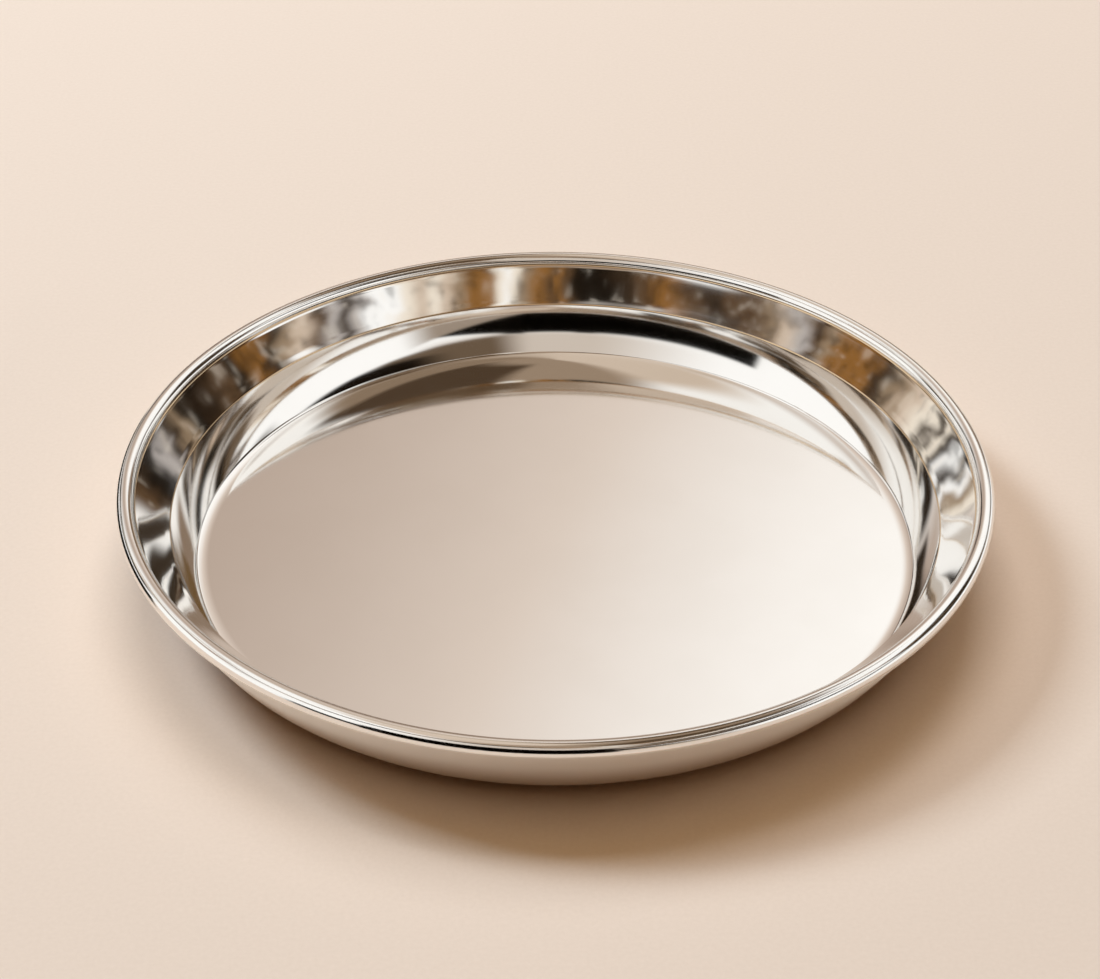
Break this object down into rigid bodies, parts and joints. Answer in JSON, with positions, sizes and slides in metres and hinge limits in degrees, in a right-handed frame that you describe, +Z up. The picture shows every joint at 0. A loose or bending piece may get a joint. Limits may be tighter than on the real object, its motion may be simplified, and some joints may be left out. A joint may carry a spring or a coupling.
{
  "type": "thali plate",
  "caption": "Round double-walled thali plate for serving a meal: polished pan with a flat floor, coved wall and flared band, smooth outer shell, and an edge that is rolled round a stiffening wire.",
  "frame": {"origin": "centre of the shell's flat base, on the surface that the plate stands on", "axes": "+Z up along the plate's axis; X and Y lie in the surface it stands on, and the plate is round about Z"},
  "size_m": [0.28, 0.28, 0.032],
  "materials": {
    "polished_steel": "mirror polished sheet, faint polishing marks and light wear",
    "drawn_wire": "bright drawn wire, faint draw marks along its length"
  },
  "bodies": {
    "root": {"dished_pan": "polished_steel", "outer_shell": "polished_steel", "rim_wire": "drawn_wire"}
  },
  "joints": []
}
